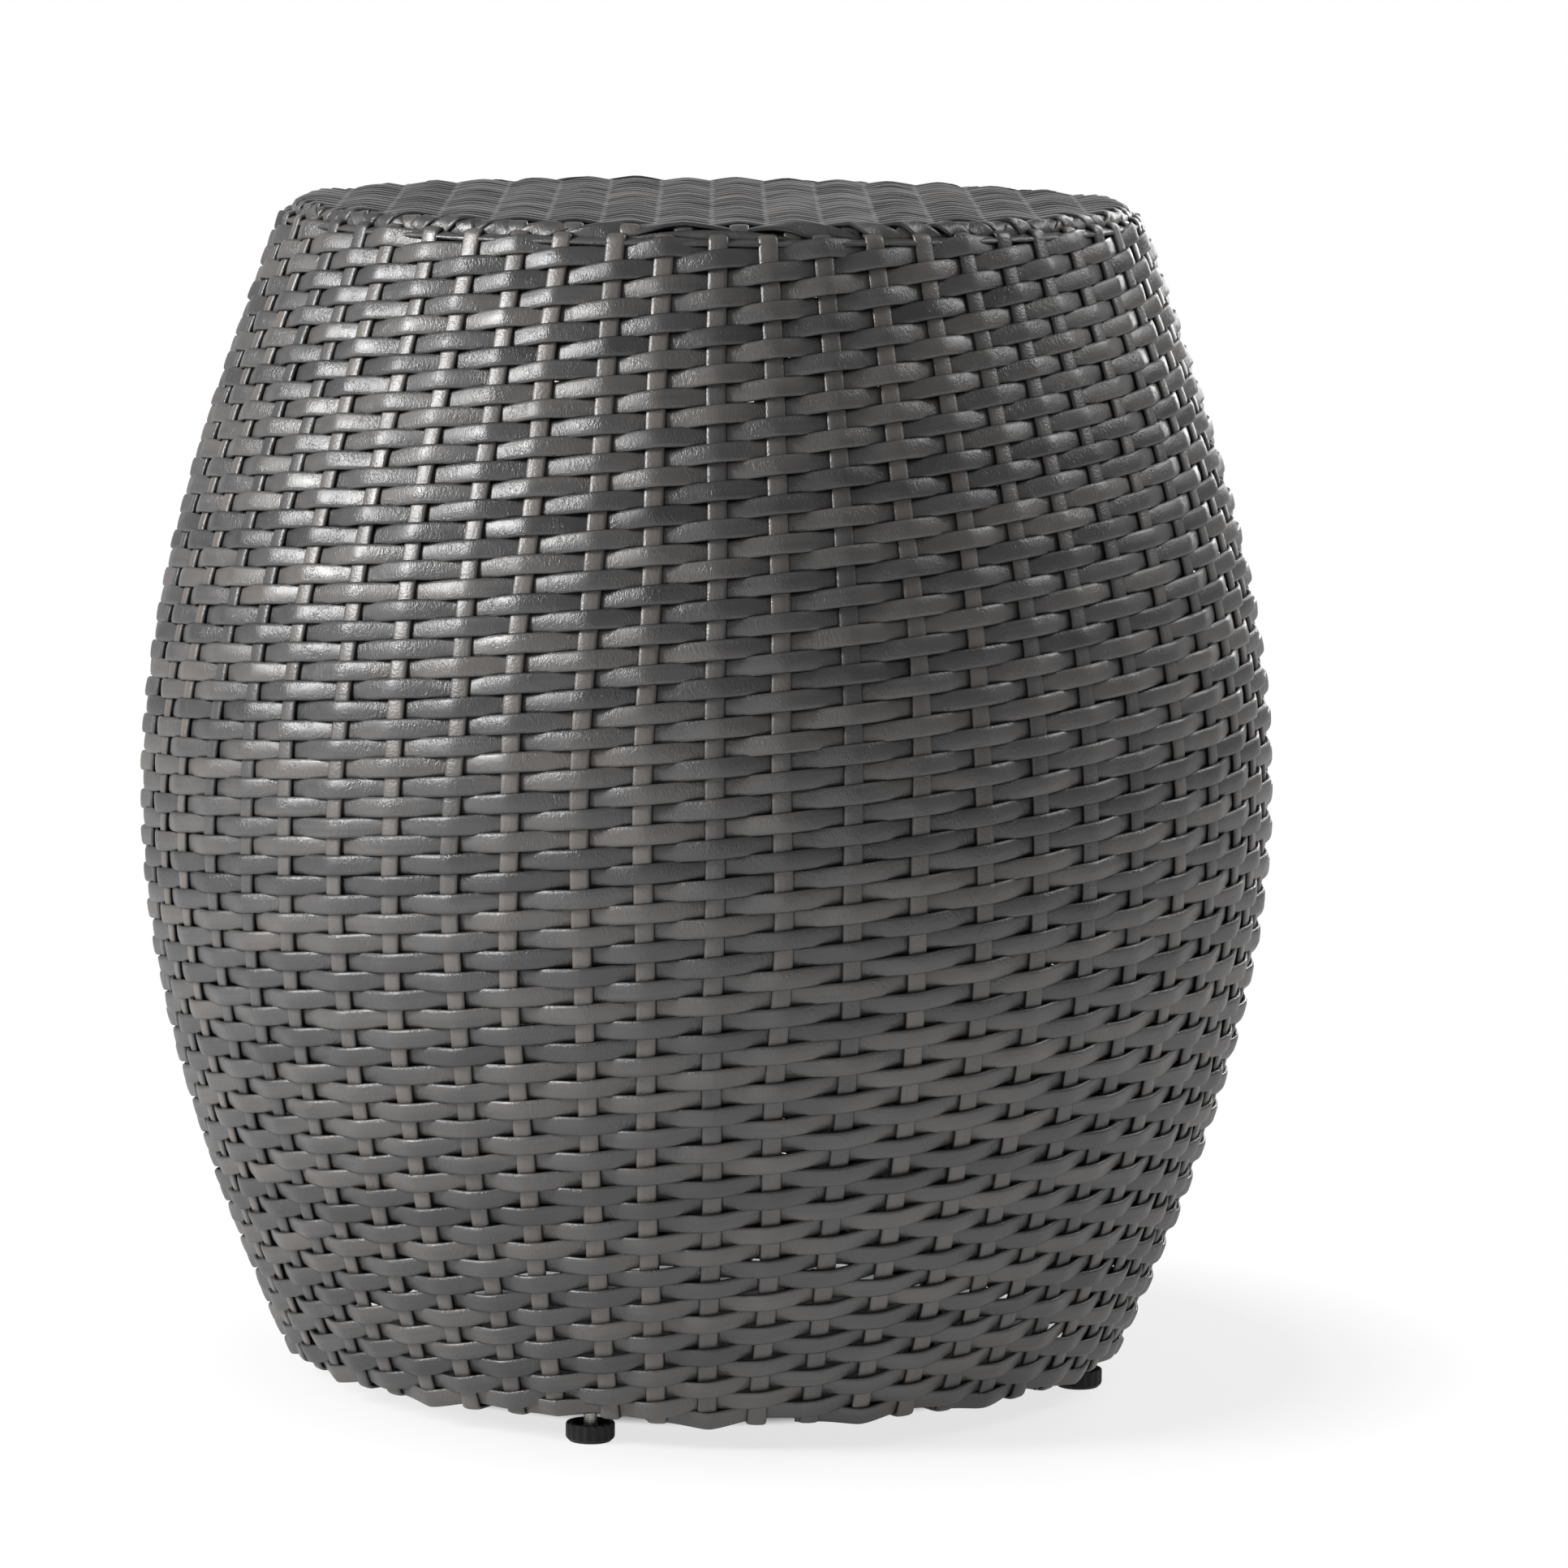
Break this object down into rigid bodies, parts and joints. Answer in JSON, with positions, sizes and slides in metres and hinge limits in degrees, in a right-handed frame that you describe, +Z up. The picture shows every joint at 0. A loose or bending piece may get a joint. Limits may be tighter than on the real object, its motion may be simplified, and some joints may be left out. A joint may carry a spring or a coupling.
{
  "type": "outdoor side table",
  "caption": "Barrel-shaped outdoor side table of woven resin strands on a steel frame, with a flat woven top and screw-in levelling feet.",
  "frame": {"origin": "on the floor, in the middle of the four levelling feet, under the barrel's axis", "axes": "+Z up along the barrel's axis, -Y towards the picture's viewer, +X to the viewer's right"},
  "size_m": [0.4879, 0.4883, 0.508],
  "materials": {
    "woven_resin": "embossed charcoal resin strand with a satin sheen",
    "frame_steel": "dark powder coat",
    "zinc_stud": "bright zinc plate",
    "foot_plastic": "black moulded plastic"
  },
  "bodies": {
    "table": {"side_weave": "woven_resin", "top_weave": "woven_resin", "rim_border": "woven_resin", "base_border": "woven_resin", "top_ring": "frame_steel", "belly_ring": "frame_steel", "bottom_ring": "frame_steel", "rib_1": "frame_steel", "rib_2": "frame_steel", "rib_3": "frame_steel", "rib_4": "frame_steel", "rib_5": "frame_steel", "rib_6": "frame_steel", "rib_7": "frame_steel", "rib_8": "frame_steel", "rib_9": "frame_steel", "rib_10": "frame_steel", "rib_11": "frame_steel", "rib_12": "frame_steel", "top_bar_1": "frame_steel", "top_bar_2": "frame_steel", "top_bar_3": "frame_steel", "foot_nut_1": "frame_steel", "foot_nut_2": "frame_steel", "foot_nut_3": "frame_steel", "foot_nut_4": "frame_steel"},
    "stud_1": {"foot_stud_1": "zinc_stud"},
    "glide_1": {"foot_base_1": "foot_plastic"},
    "stud_2": {"foot_stud_2": "zinc_stud"},
    "glide_2": {"foot_base_2": "foot_plastic"},
    "stud_3": {"foot_stud_3": "zinc_stud"},
    "glide_3": {"foot_base_3": "foot_plastic"},
    "stud_4": {"foot_stud_4": "zinc_stud"},
    "glide_4": {"foot_base_4": "foot_plastic"}
  },
  "joints": [
    {"name": "foot_1_lift", "type": "slide", "parent": "table", "child": "stud_1", "axis": [0, 0, 1], "range_m": [-0.008, 0.002]},
    {"name": "foot_1_turn", "type": "hinge", "parent": "stud_1", "child": "glide_1", "pos_m": [-0.04646, -0.16203, 0.004], "axis": [0, 0, 1], "range_deg": [-2881, 721]},
    {"name": "foot_2_lift", "type": "slide", "parent": "table", "child": "stud_2", "axis": [0, 0, 1], "range_m": [-0.008, 0.002]},
    {"name": "foot_2_turn", "type": "hinge", "parent": "stud_2", "child": "glide_2", "pos_m": [0.16203, -0.04646, 0.004], "axis": [0, 0, 1], "range_deg": [-2881, 721]},
    {"name": "foot_3_lift", "type": "slide", "parent": "table", "child": "stud_3", "axis": [0, 0, 1], "range_m": [-0.008, 0.002]},
    {"name": "foot_3_turn", "type": "hinge", "parent": "stud_3", "child": "glide_3", "pos_m": [0.04646, 0.16203, 0.004], "axis": [0, 0, 1], "range_deg": [-2881, 721]},
    {"name": "foot_4_lift", "type": "slide", "parent": "table", "child": "stud_4", "axis": [0, 0, 1], "range_m": [-0.008, 0.002]},
    {"name": "foot_4_turn", "type": "hinge", "parent": "stud_4", "child": "glide_4", "pos_m": [-0.16203, 0.04646, 0.004], "axis": [0, 0, 1], "range_deg": [-2881, 721]}
  ],
  "couplings": [
    {"joint": "foot_1_turn", "follows": "foot_1_lift", "rad_per_m": 6283.2},
    {"joint": "foot_2_turn", "follows": "foot_2_lift", "rad_per_m": 6283.2},
    {"joint": "foot_3_turn", "follows": "foot_3_lift", "rad_per_m": 6283.2},
    {"joint": "foot_4_turn", "follows": "foot_4_lift", "rad_per_m": 6283.2}
  ]
}
